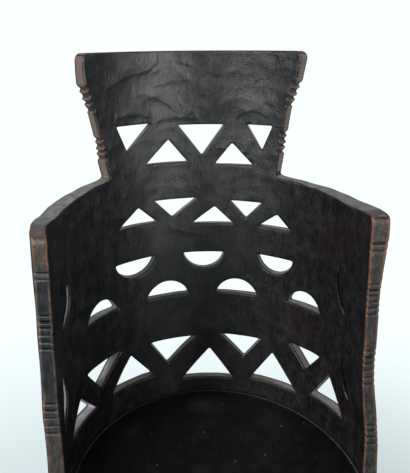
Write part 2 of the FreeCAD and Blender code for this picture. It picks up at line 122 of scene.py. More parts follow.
# The outline of the wall: the lip in front of the seat, the two arms, the shoulders and the headpiece.
# Sawn and chiselled through the wall, then rubbed round by hands. Groups of V cuts run across the front
# edges of the arms and the sides of the headpiece.
ARM_FRONTS = {-1: 0.069, 1: 0.035}
ARM_FOOT_FLARES, FLARE_HEIGHT = {-1: 0.0, 1: 0.012}, 0.1
ARM_CAP_RISE, ARM_CAP_DEPTH = 0.013, 0.007
RIM_FRONT_HEIGHT = 0.769
CAP_TOPS = {-1: 0.7665, 1: 0.7645}
RIM_SAG_HEIGHT, RIM_SAG_PAST = 0.757, 0.085
SHOULDER_BEARINGS = {-1: math.radians(48), 1: math.radians(44)}
HEAD_STATIONS = {
    -1: ((0.778, 0.063), (0.878, 0.037), (0.922, 0.019), (HEIGHT - 0.009, 0.018), (HEIGHT - 0.0027, 0.0207),
         (HEIGHT, 0.027)),
    1: ((0.772, 0.065), (0.878, 0.049), (0.922, 0.033), (HEIGHT - 0.009, 0.026), (HEIGHT - 0.0027, 0.0287),
        (HEIGHT, 0.035)),
}
ARM_NOTCHES = {
    -1: ((0.308, 0.444, 5), (0.614, 0.749, 6), (0.845, 0.885, 2)),
    1: ((0.118, 0.216, 4), (0.358, 0.514, 6), (0.629, 0.759, 6), (0.855, 0.905, 2)),
}
HEAD_NOTCHES = ((0.734, 0.798, 4), (0.859, 0.926, 4))
ARM_NOTCH_DEPTH, HEAD_NOTCH_DEPTH = 0.003, 0.005
ARM_NOTCH_SHARE, HEAD_NOTCH_SHARE = 0.45, 0.9
ARM_TURN, HEAD_SIDE_TURN, HEAD_SIDE_FOOT = 1.3, 0.4, 0.79
ARM_NOTCH_DARKENING, HEAD_NOTCH_DARKENING = 1.5, 1.0
RIM_FACETS, RIM_FACET_DEPTH = 3.4, 0.0012
FINE_STEP, PLAIN_STEP = 0.0012, 0.004
LIP_LENGTH, SHOULDER_LENGTH, HEAD_TOP_LENGTH, LEG_WIDTH = 0.4, 0.08, 0.29, 0.11


def notches(levels, top, groups, depth, open_share):
    """How deep the V cuts are at each level. A group covers a share of the way from the seat to the top,
    and each V takes up its own share of the pitch of its group."""
    cut = 0 * levels
    for low, high, count in groups:
        share = ((levels - SEAT_HEIGHT) / (top - SEAT_HEIGHT) - low) / (high - low)
        number = share * count + 0.07 * np.sin(2 * math.pi * share * (count - 1.4))
        wave = np.clip(1 - np.abs(2 * (number % 1) - 1) / open_share, 0, 1)
        uneven = 0.85 + 0.15 * np.sin(9 * share * count)
        cut = np.where((share > 0) & (share < 1), depth * wave * uneven, cut)
    return cut


def notch_darkening(turns, levels):
    """How much the bottoms of the V cuts are darkened."""
    dirt = 0 * levels
    for side in (-1, 1):
        arm = notches(levels, RIM_FRONT_HEIGHT, ARM_NOTCHES[side], ARM_NOTCH_DARKENING, ARM_NOTCH_SHARE)
        head = notches(levels, HEIGHT, HEAD_NOTCHES, HEAD_NOTCH_DARKENING, HEAD_NOTCH_SHARE)
        on_head = (side * turns > HEAD_SIDE_TURN) & (levels > HEAD_SIDE_FOOT)
        dirt = np.where(side * turns > ARM_TURN, arm, np.where(on_head, head, dirt))
    return dirt


def spread(start, end, step, length):
    """Even steps from start to end, as many as a length takes."""
    return np.linspace(start, end, max(2, round(length / step)))


def soften(turns, levels, passes, closed=False):
    """Round the corners of an outline by averaging each point with its neighbours."""
    path = np.stack((turns, levels), axis=1)
    for _ in range(passes):
        smooth_path = (np.roll(path, 1, axis=0) + 2 * path + np.roll(path, -1, axis=0)) / 4
        if not closed:
            smooth_path[[0, -1]] = path[[0, -1]]
        path = smooth_path
    return path[:, 0], path[:, 1]


def side_outline(side, wall):
    """One side of the wall's outline, from the middle of the lip to the corner of the headpiece."""
    bearing = side * SHOULDER_BEARINGS[side]
    cap_level = RIM_FRONT_HEIGHT - ARM_CAP_RISE
    arm_levels = spread(SEAT_HEIGHT, cap_level, FINE_STEP, cap_level - SEAT_HEIGHT)
    flare = ARM_FOOT_FLARES[side] * np.clip(1 - (arm_levels - SEAT_HEIGHT) / FLARE_HEIGHT, 0, 1) ** 2
    arm_plain = cut_across(-ARM_FRONTS[side] - flare, arm_levels, side, wall)
    arm_depth = notches(arm_levels, RIM_FRONT_HEIGHT, ARM_NOTCHES[side], ARM_NOTCH_DEPTH, ARM_NOTCH_SHARE)
    arm_cut = cut_across(arm_depth - ARM_FRONTS[side] - flare, arm_levels, side, wall)
    lip_turns = spread(side * math.pi, arm_plain[0], PLAIN_STEP, LIP_LENGTH)
    cap_levels = spread(cap_level, CAP_TOPS[side], 0.002, ARM_CAP_RISE)
    cap_depths = ARM_CAP_DEPTH * (cap_levels - cap_level) / ARM_CAP_RISE
    cap_turns = cut_across(cap_depths - ARM_FRONTS[side], cap_levels, side, wall)
    runs = [(lip_turns, 0 * lip_turns + SEAT_HEIGHT, 0 * lip_turns),
            (arm_plain, arm_levels, arm_cut - arm_plain),
            (cap_turns, cap_levels, 0 * cap_turns)]
    x, y, _ = on_log(cap_turns[-1:], cap_levels[-1:], wall)[0][0]
    cap_past = side * ((y + SEAT_AXIS) * math.sin(bearing) - x * math.cos(bearing))
    stations = [(CAP_TOPS[side], cap_past), (RIM_SAG_HEIGHT, -RIM_SAG_PAST), *HEAD_STATIONS[side]]
    for (low, low_past), (high, high_past) in zip(stations, stations[1:]):
        on_rim = low_past < 0
        length = SHOULDER_LENGTH if low_past == cap_past else math.hypot(high - low, high_past - low_past)
        share = spread(0, 1, PLAIN_STEP if on_rim else FINE_STEP, length)
        rim_facets = RIM_FACET_DEPTH * np.abs(2 * (share * RIM_FACETS % 1) - 1) * on_rim
        levels = low + (high - low) * share - rim_facets
        past = low_past + (high_past - low_past) * share
        groups = HEAD_NOTCHES if low_past > 0 else ()
        cut = notches(levels, HEIGHT, groups, HEAD_NOTCH_DEPTH, HEAD_NOTCH_SHARE)
        plain_turns = cut_outward(-side * past, levels, bearing, wall)
        cut_turns = cut_outward(-side * (past + cut), levels, bearing, wall)
        runs.append((plain_turns, levels, cut_turns - plain_turns))
    turns, levels, cuts = (np.concatenate([run[part][1:] if number else run[part]
                                           for number, run in enumerate(runs)]) for part in range(3))
    turns, levels = soften(turns, levels, 6)
    return turns + cuts, levels


def wall_outline(wall):
    """The whole upper outline, from the middle of the lip round by the left and the right to it again."""
    left, right = side_outline(-1, wall), side_outline(1, wall)
    top_turns = spread(left[0][-1], right[0][-1], PLAIN_STEP, HEAD_TOP_LENGTH)[1:-1]
    top_levels = np.full(len(top_turns), HEIGHT)
    return (np.concatenate((left[0], top_turns, right[0][::-1])),
            np.concatenate((left[1], top_levels, right[1][::-1])))


# The legs: an arch sawn through the foot of the log from front to back and another from side to side
# leaves four legs. Each arch has leaning jambs and a half-moon head.
ARCH_FOOT_HALF_WIDTH, ARCH_SPRING_HALF_WIDTH = 0.126, 0.112
ARCH_SPRING_HEIGHT, ARCH_HEIGHT = 0.168, 0.248
SIDE_ARCH_AXIS = 0.005
ARCH_RISE = ARCH_HEIGHT - ARCH_SPRING_HEIGHT
ARCH_RADIUS = (ARCH_SPRING_HALF_WIDTH ** 2 + ARCH_RISE ** 2) / (2 * ARCH_RISE)


def half_arch():
    """Half of an arch's outline, from the floor up to its crown: distance from the middle, and level."""
    jamb = spread(0, 1, PLAIN_STEP, ARCH_SPRING_HEIGHT)
    sweep = math.asin(ARCH_SPRING_HALF_WIDTH / ARCH_RADIUS)
    angles = spread(sweep, 0, PLAIN_STEP, sweep * ARCH_RADIUS)[1:]
    away = np.concatenate((ARCH_FOOT_HALF_WIDTH + (ARCH_SPRING_HALF_WIDTH - ARCH_FOOT_HALF_WIDTH) * jamb,
                           ARCH_RADIUS * np.sin(angles)))
    levels = np.concatenate((ARCH_SPRING_HEIGHT * jamb,
                             ARCH_HEIGHT - ARCH_RADIUS * (1 - np.cos(angles))))
    return away, levels


def foot_outline(wall):
    """The lower outline, from the front arch's crown round by the left, back and right to it again."""
    away, levels = half_arch()
    back_turns = np.arcsin(away / log_section(levels, wall)[0])
    front_turns = math.pi - back_turns
    side_front, side_back = (cut_across(way * away - SIDE_ARCH_AXIS, levels, 1, wall) for way in (-1, 1))
    turns, heights = [], []
    for first, last in ((front_turns, side_front), (side_back, back_turns)):
        foot = spread(first[0], last[0], PLAIN_STEP, LEG_WIDTH)[1:-1]
        turns += [first[::-1], foot, last]
        heights += [levels[::-1], 0 * foot, levels]
    turns, heights = np.concatenate(turns), np.concatenate(heights)
    repeated = np.concatenate(([False], np.abs(np.diff(turns)) + np.abs(np.diff(heights)) < 1e-7))
    turns, heights = turns[~repeated], heights[~repeated]
    return (np.concatenate((-turns, turns[::-1][1:])), np.concatenate((heights, heights[::-1][1:])))


# The openwork: five bands of pierced work, cut with a chisel straight out from the middle of the seat.
# Two zigzags of triangles stand below, rows of half-moons in the middle and more zigzags above them.
PITCH = math.radians(30)
USUAL_SIZES = {
    "low_peak": (0.045, 0.040, 0.094),
    "low_valley": (0.040, 0.114, 0.071),
    "rising_moon": (0.036, 0.191, 0.218),
    "setting_moon": (0.036, 0.265, 0.235),
    "high_peak": (0.036, 0.316, 0.345),
    "high_valley": (0.037, 0.357, 0.326),
    "head_peak": (0.035, 0.418, 0.455),
    "head_valley": (0.037, 0.482, 0.437),
}
OPENING_SHARES = {
    "low_peak": (
        (-2.04, 1.09, 0.02, 0.11, -0.06),
        (-0.93, 1.02, -0.01, 0.09, 0.09),
        (0.13, 1.02, 0.08, -0.27, -0.20),
        (1.04, 1.01, -0.10, -0.15, -0.06),
        (2.00, 0.94, 0, 0.08, 0.17),
    ),
    "low_valley": (
        (-1.43, 1.12, -0.17, 0.05, 0.02),
        (-0.31, 1.08, -0.25, -0.15, -0.26),
        (0.56, 0.96, 0.15, -0.07, -0.05),
        (1.52, 0.83, 0.05, 0.17, 0.30),
    ),
    "rising_moon": (
        (-1.40, 1.08, 0, 0.06, 0.04),
        (-0.37, 1.07, 0, -0.06, -0.07),
        (0.50, 0.99, 0, -0.02, -0.04),
        (1.47, 0.97, 0, 0.09, 0.07),
    ),
    "setting_moon": (
        (-0.80, 1.10, 0, 0, 0),
        (0.09, 0.97, 0, -0.03, 0),
        (1.00, 0.91, 0, 0.02, 0.03),
    ),
    "high_peak": (
        (-0.74, 1.04, 0.08, 0.22, 0.24),
        (0.20, 0.98, 0.10, -0.05, -0.03),
        (0.98, 0.84, 0.13, -0.05, -0.21),
    ),
    "high_valley": (
        (-0.24, 1.02, -0.14, 0.06, 0.03),
        (0.60, 0.78, 0, -0.08, -0.03),
    ),
    "head_peak": (
        (-0.34, 1.04, 0.12, 0.05, 0.08),
        (0.45, 0.91, -0.10, -0.08, -0.11),
    ),
    "head_valley": (
        (-0.74, 0.86, -0.37, 0.07, 0.11),
        (0.07, 1.02, 0.04, -0.04, -0.16),
        (0.75, 0.58, 0.18, -0.02, 0.07),
    ),
}
SIDE_MOONS = ((0.124, -2.65, 1.10, 0.30, 0.020), (0.124, 2.44, 1.04, 0.20, 0.013),
              (0.255, -2.28, 0.93, 0.42, 0.019), (0.255, 2.22, 0.99, 0.36, 0.013))
SIDE_MOON_HALF_HEIGHT = 0.036
OPENING_STEP = 0.0028


def closed_path(corners):
    """A closed outline through its corners, in even steps, each corner rounded as the chisel leaves it."""
    across, levels = [], []
    for start, end in zip(corners, corners[1:] + corners[:1]):
        length = math.dist(start, end)
        share = spread(0, 1, OPENING_STEP, length)[:-1]
        across.append(start[0] + (end[0] - start[0]) * share)
        levels.append(start[1] + (end[1] - start[1]) * share)
    return np.concatenate(across), np.concatenate(levels)


def moon_corners(half_width, rise):
    """The arc of a half-moon above its flat side, as short straights, from its right end to its left."""
    radius = (half_width ** 2 + rise ** 2) / (2 * abs(rise))
    sweep = math.atan2(half_width, radius - abs(rise)) % math.pi
    angles = spread(sweep, -sweep, OPENING_STEP, 2 * sweep * radius)
    return [(radius * math.sin(angle), math.copysign(abs(rise) - radius * (1 - math.cos(angle)), rise))
            for angle in angles]


def openings():
    """Every opening of the wall: its bearing from the middle of the back and its outline across the cut.

    The usual sizes are half the width and how high the flat side and the tip are above the seat."""
    for kind, row in OPENING_SHARES.items():
        usual, usual_flat, usual_tip = USUAL_SIZES[kind]
        rise = abs(usual_tip - usual_flat)
        for turn_share, width_share, wander_share, flat_share, tip_share in row:
            half_width = usual * width_share
            flat, tip = usual_flat + flat_share * rise, usual_tip + tip_share * rise
            if kind.endswith("moon"):
                corners = [(x, flat + z) for x, z in moon_corners(half_width, tip - flat)]
            else:
                corners = [(-half_width, flat), (half_width, flat), (wander_share * half_width, tip)]
            yield turn_share * PITCH, corners
    for level, turn_share, size_share, lean_share, width in SIDE_MOONS:
        side = math.copysign(1, turn_share)
        tall = SIDE_MOON_HALF_HEIGHT * size_share
        slope = math.hypot(1, lean_share)
        arc = moon_corners(tall * slope, width * size_share)
        corners = [(-side * (z + x * lean_share) / slope, level + (x - z * lean_share) / slope)
                   for x, z in arc]
        yield turn_share * PITCH, corners


def opening_outlines(wall):
    """The openings where they come through a surface."""
    outlines = []
    for bearing, corners in openings():
        across, heights = soften(*closed_path(corners), 1, closed=True)
        levels = SEAT_HEIGHT + heights
        turns = cut_outward(across, levels, bearing, wall)
        area = np.sum(turns * np.roll(levels, -1) - np.roll(turns, -1) * levels)
        way = 1 if area > 0 else -1
        outlines.append((turns[::way], levels[::way]))
    return outlines


# The tool marks: an adze leaves a scoop at each stroke, and each scoop ends where the next ones begin.
# The headpiece keeps the widest strokes. In the tub they are closer and shallower, and run upward.
FLAT = 0.24
STRAY, LEAN, REACH, FULLNESS = 0.33, 0.5, (0.55, 0.8), (0.75, 1.0)


def ramp(values, start, length):
    """0 up to a start, 1 from a length beyond it, and even in between."""
    return np.clip((values - start) / length, 0, 1)


def smooth(share):
    return share * share * (3 - 2 * share)


def adze_marks(turns, levels, wide, tall, depth, seed):
    """How deep the scoops are: the deepest of the round-bottomed strokes that reach each point."""
    draw = np.random.default_rng(seed)
    loop = 2 * math.pi * FLAT
    columns = round(loop / wide)
    rows = math.ceil(HEIGHT / tall) + 1
    column, row = (grid.ravel() for grid in np.meshgrid(np.arange(columns), np.arange(rows)))
    count = len(row)
    centre_u = (column + row % 2 / 2 + draw.uniform(-STRAY, STRAY, count)) * 2 * math.pi * FLAT / columns
    centre_v = (row + draw.uniform(-STRAY, STRAY, count)) * tall
    lean = draw.uniform(-LEAN, LEAN, count)
    along_radius = (wide * draw.uniform(*REACH, count)) ** 2 / (2 * depth)
    over_radius = (tall * draw.uniform(*REACH, count)) ** 2 / (2 * depth)
    start = depth * draw.uniform(*FULLNESS, count)
    marks = np.zeros(len(turns))
    for u0, v0, angle, first, second, deep in zip(centre_u, centre_v, lean, along_radius, over_radius, start):
        du = (turns * FLAT - u0 + loop / 2) % loop - loop / 2
        dv = levels - v0
        near = (np.abs(du) < wide) & (np.abs(dv) < tall * 1.2)
        along = du[near] * math.cos(angle) + dv[near] * math.sin(angle)
        over = dv[near] * math.cos(angle) - du[near] * math.sin(angle)
        marks[near] = np.maximum(marks[near], deep - along ** 2 / (2 * first) - over ** 2 / (2 * second))
    return marks


# The crests: where one adze stroke stopped against the next, a crest is left between them, steep below and
# long above. The long ones were measured: height in metres, then turns in degrees and levels.
LONG_STROKES = (
    (0.0012, ((-42.6, 0.912), (-38.4, 0.918), (-33.2, 0.926), (-30.3, 0.931), (-25.5, 0.934), (-21.7, 0.936),
              (-18.0, 0.945), (-15.2, 0.953))),
    (0.0009, ((-20.1, 0.910), (-15.5, 0.914), (-10.0, 0.920), (-3.8, 0.920))),
    (0.0012, ((-28.7, 0.898), (-26.3, 0.902), (-20.2, 0.899), (-15.6, 0.893), (-12.0, 0.884), (-8.0, 0.871),
              (-4.0, 0.868), (1.4, 0.870))),
    (0.0010, ((-38.0, 0.868), (-31.9, 0.872), (-25.1, 0.872), (-20.5, 0.864), (-19.1, 0.856))),
    (0.0012, ((-19.6, 0.852), (-16.8, 0.859), (-13.5, 0.863), (-4.9, 0.863), (2.2, 0.862))),
    (0.0008, ((17.3, 0.855), (19.0, 0.864), (21.2, 0.871), (26.5, 0.876), (31.0, 0.880))),
    (0.0006, ((24.2, 0.910), (26.8, 0.921), (29.4, 0.927))),
    (0.0006, ((-14.1, 0.690), (-11.3, 0.680), (-7.6, 0.674), (-2.9, 0.669), (5.0, 0.664))),
)

def short_strokes(count, low, high, width, depth, seed):
    """Smaller crests, strewn over the wall between two levels."""
    draw = np.random.default_rng(seed)
    for turn, level, size, lean in draw.uniform((-110, low, 0.5, -0.4), (110, high, 1.3, 0.4), (count, 4)):
        half = math.degrees(width * size / FLAT)
        share = np.linspace(-1, 1, 9)
        arch = level - 0.25 * width * size * share ** 2 + lean * width * size * share
        yield depth * size, tuple(zip(turn + half * share, arch))


def wavering(line):
    """A stroke's end in small steps, with the waver of a hand tool."""
    turns, levels = np.radians([turn for turn, _ in line]), [level for _, level in line]
    fine = spread(turns[0], turns[-1], 0.0013, (turns[-1] - turns[0]) * FLAT)
    waver = 0.0007 * np.sin(fine * 70 + 900 * levels[0]) + 0.0004 * np.sin(fine * 190)
    return fine, np.interp(fine, turns, levels) + waver


HEAD_STROKE_COUNT = 90
head_strokes = short_strokes(HEAD_STROKE_COUNT, low=0.78, high=0.96, width=0.015, depth=0.0007, seed=31)
tub_strokes = short_strokes(240, low=0.40, high=0.78, width=0.011, depth=0.0003, seed=37)
STROKES = [(height, *wavering(line)) for height, line in (*LONG_STROKES, *head_strokes, *tub_strokes)]
MESHED_STROKES = STROKES[:len(LONG_STROKES) + HEAD_STROKE_COUNT]


def stroke_ends(turns, levels):
    """How far the crests between strokes stand out, and which points lie on them."""
    proud, on_crest = np.zeros(len(turns)), np.zeros(len(turns), bool)
    for height, line_turns, line_levels in STROKES:
        near = np.flatnonzero((turns > line_turns[0]) & (turns < line_turns[-1])
                              & (levels > min(line_levels) - 0.01) & (levels < max(line_levels) + 0.05))
        above = levels[near] - np.interp(turns[near], line_turns, line_levels)
        from_end = np.minimum(turns[near] - line_turns[0], line_turns[-1] - turns[near]) * FLAT
        lasting = ramp(from_end, 0, 0.009)
        steep_below = np.clip(1 + above / (0.002 + 4.5 * height), 0, 1)
        long_above = np.clip(1 - above / (12 * height + 0.013), 0, 1)
        proud[near] = np.maximum(proud[near], height * (steep_below * long_above) * lasting)
        on_crest[near] |= (np.abs(above) < 2e-5) & (lasting > 0.3)
    return proud, on_crest


# The shell's mesh: a sheet of small triangles over each hewn surface, with every outline as an edge,
# and cut faces that join the sheets through the wall. The edges are rounded as wear has left them.
EDGE_RADIUS = 0.0022
LAST_ROW = 2.2
ROUND_STEPS = (0.134, 0.5, 1.0, LAST_ROW)
CREST_ROW, CREST_GAP = 0.0016, 0.0011
HEAD_FOOT = 0.775
ROW_SPACING = 0.87
OUTER_STEP, TUB_STEP, HEAD_STEP, HOLLOW_STEP = 0.0090, 0.0050, 0.0026, 0.0095


def inside_path(u, v, path_u, path_v):
    """Which points lie inside a closed path."""
    inside = np.zeros(len(u), bool)
    box = (u >= path_u.min()) & (u <= path_u.max()) & (v >= path_v.min()) & (v <= path_v.max())
    box_u, box_v, odd = u[box], v[box], inside[box]
    for u0, v0, u1, v1 in zip(path_u, path_v, np.roll(path_u, -1), np.roll(path_v, -1)):
        if v0 != v1:
            odd ^= ((box_v >= v0) != (box_v >= v1)) & (box_u < u0 + (box_v - v0) * (u1 - u0) / (v1 - v0))
    inside[box] = odd
    return inside


def on_sheet(u, v, rim, holes):
    """Which points lie inside a sheet's rim and outside its holes."""
    found = inside_path(u, v, *rim)
    for hole in holes:
        found &= ~inside_path(u, v, *hole)
    return found


def place_tree(u, v):
    tree = kdtree.KDTree(len(u))
    for number, place in enumerate(zip(u, v)):
        tree.insert((*place, 0), number)
    tree.balance()
    return tree


def distances(tree, u, v):
    """The distance from each point to the nearest place in a tree."""
    return np.array([tree.find((*place, 0))[2] for place in zip(u, v)])


def rows_beside(u, v, closed):
    """Rows of points beside an outline, on its right-hand side."""
    if closed:
        du, dv = np.roll(u, -1) - np.roll(u, 1), np.roll(v, -1) - np.roll(v, 1)
    else:
        du, dv = np.gradient(u), np.gradient(v)
        du[[0, -1]], dv[[0, -1]] = np.sign(du[[0, -1]]), 0
    size = np.hypot(du, dv)
    for away in (EDGE_RADIUS * step for step in ROUND_STEPS):
        yield u + dv / size * away, v - du / size * away


def make_sheet(upper, lower, holes, step, head_step, lines=()):
    """Triangles over one surface, between an upper and a lower outline and round the holes.

    They are as wide as a step, with another step on the headpiece, and they follow the lines.
    Returns the turns and levels of the points, the triangles, the distance of each point to the
    nearest outline, and the numbers of the points of each outline."""
    paths = [(np.asarray(turns) * FLAT, np.asarray(levels)) for turns, levels in [upper, lower, *holes]]
    seam = math.pi * FLAT
    seam_low, seam_high = paths[1][1][0], paths[0][1][0]
    seam_levels = spread(seam_low, seam_high, step, seam_high - seam_low)[1:-1]
    fixed = [*paths, *((np.full(len(seam_levels), place), seam_levels) for place in (-seam, seam))]
    ends = np.cumsum([len(u) for u, _ in fixed])
    *numbers, left_seam, right_seam = (np.arange(end - len(u), end) for end, (u, _) in zip(ends, fixed))
    fixed_u, fixed_v = (np.concatenate([path[part] for path in fixed]) for part in (0, 1))
    rim = np.concatenate((numbers[0], right_seam[::-1], numbers[1][::-1], left_seam))
    rim_path = fixed_u[rim], fixed_v[rim]
    edges = [(int(a), int(b)) for loop in (rim, *numbers[2:]) for a, b in zip(loop, np.roll(loop, -1))]

    outline_u, outline_v = (np.concatenate([path[part] for path in paths]) for part in (0, 1))
    outlines_near = place_tree(outline_u, outline_v)
    free = []
    for part, (u, v) in enumerate(paths):
        way = -1 if part == 1 else 1
        for row_u, row_v in rows_beside(u[::way], v[::way], closed=part > 1):
            free.append(np.column_stack((row_u, row_v, 0 * row_u)))
    level, odd = outline_v.min(), False
    while level < outline_v.max():
        wide = head_step if level > HEAD_FOOT else step
        across = np.arange(-seam + wide + odd * wide / 2, seam - wide / 2, wide)
        least = 0 * across + EDGE_RADIUS * LAST_ROW + wide * 0.5
        free.append(np.column_stack((across, 0 * across + level, least)))
        level, odd = level + wide * ROW_SPACING, not odd
    free = np.concatenate(free)
    if lines:
        crests = np.concatenate([
            np.column_stack((turns * FLAT, levels + offset, 0 * turns + EDGE_RADIUS * 0.5))
            for turns, levels in lines for offset in (-CREST_ROW, 0, CREST_ROW)])
        apart = distances(place_tree(crests[:, 0], crests[:, 1]), free[:, 0], free[:, 1]) > CREST_GAP
        free = np.concatenate((free[apart], crests))
    free = free[np.abs(free[:, 0]) < seam - step * 0.4]
    free = free[on_sheet(free[:, 0], free[:, 1], rim_path, paths[2:])]
    gap = distances(outlines_near, free[:, 0], free[:, 1])
    free = free[gap > np.maximum(free[:, 2], EDGE_RADIUS * 0.12)]

    places = [Vector(place) for place in zip((*fixed_u, *free[:, 0]), (*fixed_v, *free[:, 1]))]
    made = delaunay_2d_cdt(places, edges, [], 0, 1e-7, True)
    place_u, place_v = (np.array([place[part] for place in made[0]]) for part in (0, 1))
    triangles = np.array(made[2])
    renamed = {source: number for number, sources in enumerate(made[3]) for source in sources}
    keep = on_sheet(place_u[triangles].mean(axis=1), place_v[triangles].mean(axis=1), rim_path, paths[2:])
    gap = distances(outlines_near, place_u, place_v)
    outlines = [[renamed[number] for number in loop] for loop in numbers]
    return place_u / FLAT, place_v, triangles[keep], gap, outlines


def rounding(gap):
    """How far a rounded edge is drawn back from the surface, at a distance from the outline."""
    near = np.clip(EDGE_RADIUS - gap, 0, EDGE_RADIUS)
    return EDGE_RADIUS - np.sqrt(EDGE_RADIUS ** 2 - near ** 2)


# The wear: hands and sleeves rub the edges, most on the arms, less on the headpiece, least in the openings.
# Each point of the mesh has a number for it. Below 0 the wood is black and dull: soot on the arms, darkening
# in the V cuts, and painted shade in the half-moons. About 1 is rubbed to the brown, and from 1.3 up is a
# bare cut face that dust has greyed, with painted light on it that is bluish white from 1.75 up. The material
# reads it.
HEAD_WEAR, LEAST_WEAR, MOST_RIGHT_WEAR = 0.62, 0.3, 1.3
KNOCK_TURN, KNOCK_LEVEL, KNOCK_RADIUS = -0.595, 0.7475, 0.003
LEFT_ARM_SOOT = ((0.42, -0.2), (0.50, 0.0), (0.56, 0.4), (0.62, 0.4), (0.67, 0.7), (0.70, 0.7), (0.71, 0.4))
# Painted shade: the right half-moons' cut faces and the edges beside them are blackened where shade falls.
RIGHT_ARM_SOOT, MOON_PAINTED_SHADE = 0.15, 1.3
# Bare cut faces are greyed by dust and lit with painted light, most on the left jambs, which light reaches
# from the left.
BARE_HEAD_SIDE, BARE_AND_LIT_JAMB, LEFT_JAMB_PAINTED_LIGHT, MOON_JAMB = 1.3, 1.55, 1.9, 0.7
PAINTED_LIGHT_JAMB_BEARINGS = (-1.12, -0.70)
# The left half-moons: painted shade on the cut face and painted light on its outer edge.
LEFT_MOON_SHADE_AND_LIGHT = (-0.9, 2.0)


def rubbed(turns, levels):
    """How much the edges are rubbed."""
    away = np.abs(turns)
    arm = ramp(away, 1.45, 0.15) * ramp(2.35 - away, 0, 0.1)
    arm = arm * ramp(levels, SEAT_HEIGHT, 0.01)
    arm = arm * (1 + 0.3 * ramp(levels, 0.70, 0.05))
    arm = np.where(turns > 0, np.minimum(1.2 * arm, MOST_RIGHT_WEAR), arm)
    head = ramp(levels, HEAD_SIDE_FOOT, 0.03) * ramp(away, 0.55, 0.1)
    return np.maximum(np.maximum(arm, HEAD_WEAR * head), LEAST_WEAR)


def shade_beside_right_moons(turns, levels):
    """The part beside the two half-moons of the right arm that is blackened as painted shade."""
    beside = 0 * turns
    for height, turn_share, *_ in SIDE_MOONS[1::2]:
        turn = cut_outward(0, SEAT_HEIGHT + height, turn_share * PITCH, tub)
        beside += (np.abs(turns - turn) < 0.12) & (np.abs(levels - SEAT_HEIGHT - height) < 0.027)
    return beside


class MeshParts:
    """Points, faces, the wear, painted light and painted shade on each point and the points of crests,
    gathered piece by piece.
    """

    def __init__(self):
        self.points, self.faces, self.wear, self.crests, self.count = [], [], [], set(), 0

    def add_points(self, points, wear):
        first = self.count
        self.points.append(points)
        self.wear.append(wear)
        self.count += len(points)
        return first

    def add_sheet(self, sheet, wall, marks, inward):
        """A hewn surface: marks and round edges are cut into the wood, which lies inward or outward."""
        turns, levels, triangles, gap, outlines = sheet
        points, outward = on_log(turns, levels, wall)
        depth = marks(turns, levels) + rounding(gap)
        way = -1 if inward else 1
        wear = np.clip(1 - gap / EDGE_RADIUS / 1.4, 0, 1) * rubbed(turns, levels)
        if wall is tub:
            from_knock = np.hypot((turns - KNOCK_TURN) * FLAT, levels - KNOCK_LEVEL)
            wear += np.clip(1.6 - from_knock / KNOCK_RADIUS, 0, 1)
            # Painted shade on the edges beside the right half-moons.
            wear -= 4 * wear * shade_beside_right_moons(turns, levels)
            self.crests.update((self.count + np.flatnonzero(stroke_ends(turns, levels)[1])).tolist())
        first = self.add_points(points + way * depth[:, None] * outward, wear)
        self.faces += [tuple(triangle[::1 if inward else -1] + first) for triangle in triangles]
        return [[number + first for number in outline] for outline in outlines]

    def join(self, inner, outer, closed, cuts=6, soot_and_shade=0, bare_and_lit=0, lip=None):
        """A cut face through the wall between the same outline on two surfaces.

        Soot and painted shade blacken it. Where it is bare, less of the black has held, and it is greyed by
        dust and lit
        with painted light. A lip is a pair: the marks of the face and of its outer edge, painted shade and
        painted light."""
        points = np.concatenate(self.points)
        start, end = points[inner], points[outer]
        ends_wear = np.concatenate(self.wear)[inner]
        rows = [inner]
        for number in range(1, cuts):
            share = number / cuts
            wear = max(0.5, 1 - min(share, 1 - share) * cuts / 1.2) * ends_wear + bare_and_lit - soot_and_shade
            if lip is not None:
                wear = 0 * ends_wear + np.interp(share, (0.7, 0.8), lip)
            first = self.add_points(start + (end - start) * share, wear)
            rows.append(range(first, first + len(inner)))
        rows.append(outer)
        for near, far in zip(rows, rows[1:]):
            for a in range(len(inner) if closed else len(inner) - 1):
                b = (a + 1) % len(inner)
                self.faces.append((near[a], far[a], far[b], near[b]))


# The hewing, surface by surface: how deep the tool has cut at each point below the log's plain sections.
# The arms, the shoulders and the left side of the headpiece were worked thinner or left thicker by eye.
SHOULDER_SWELL, LEFT_HEAD_THINNED = 0.009, 0.0055
RIGHT_ARM_THINNED, RIGHT_ARM_TOP_KEPT, LEFT_ARM_KEPT = 0.012, 0.007, 0.001
RIGHT_ARM_IN, RIGHT_FOOT_OUT, LEFT_ARM_OUT = 0.007, 0.004, 0.0045


def near_arm(turns, levels, side):
    """How near the front edge of one arm is: 1 at the edge, 0 from a hand's width behind."""
    ahead = ramp(2.6 - side * turns, 0, 0.5)
    return smooth(ramp(side * turns, 0.95, 0.6)) * ahead * smooth(ramp(levels - SEAT_HEIGHT, 0.03, 0.16))


def hollow_marks(turns, levels):
    """Coarse strokes where the log was hollowed from below."""
    return adze_marks(turns, levels, wide=0.04, tall=0.06, depth=0.0016, seed=11)


def tub_marks(turns, levels):
    """Close upright strokes in the tub, wide and small ones on the headpiece, and the lean of the arms."""
    low = adze_marks(turns, levels, wide=0.030, tall=0.075, depth=0.0008, seed=3)
    high = adze_marks(turns, levels, wide=0.085, tall=0.048, depth=0.0015, seed=5)
    small = adze_marks(turns, levels, wide=0.034, tall=0.020, depth=0.0006, seed=9) * ramp(levels, 0.66, 0.08)
    marks = low + (high - low) * ramp(levels, RIM_FRONT_HEIGHT, 0.06) + small - stroke_ends(turns, levels)[0]
    low_right = np.clip(1 - np.abs(levels - SEAT_HEIGHT - 0.07) / 0.06, 0, 1) * ramp(turns, 1.3, 0.3)
    right = RIGHT_FOOT_OUT * low_right - RIGHT_ARM_IN * near_arm(turns, levels, 1)
    return marks + right + LEFT_ARM_OUT * near_arm(turns, levels, -1)


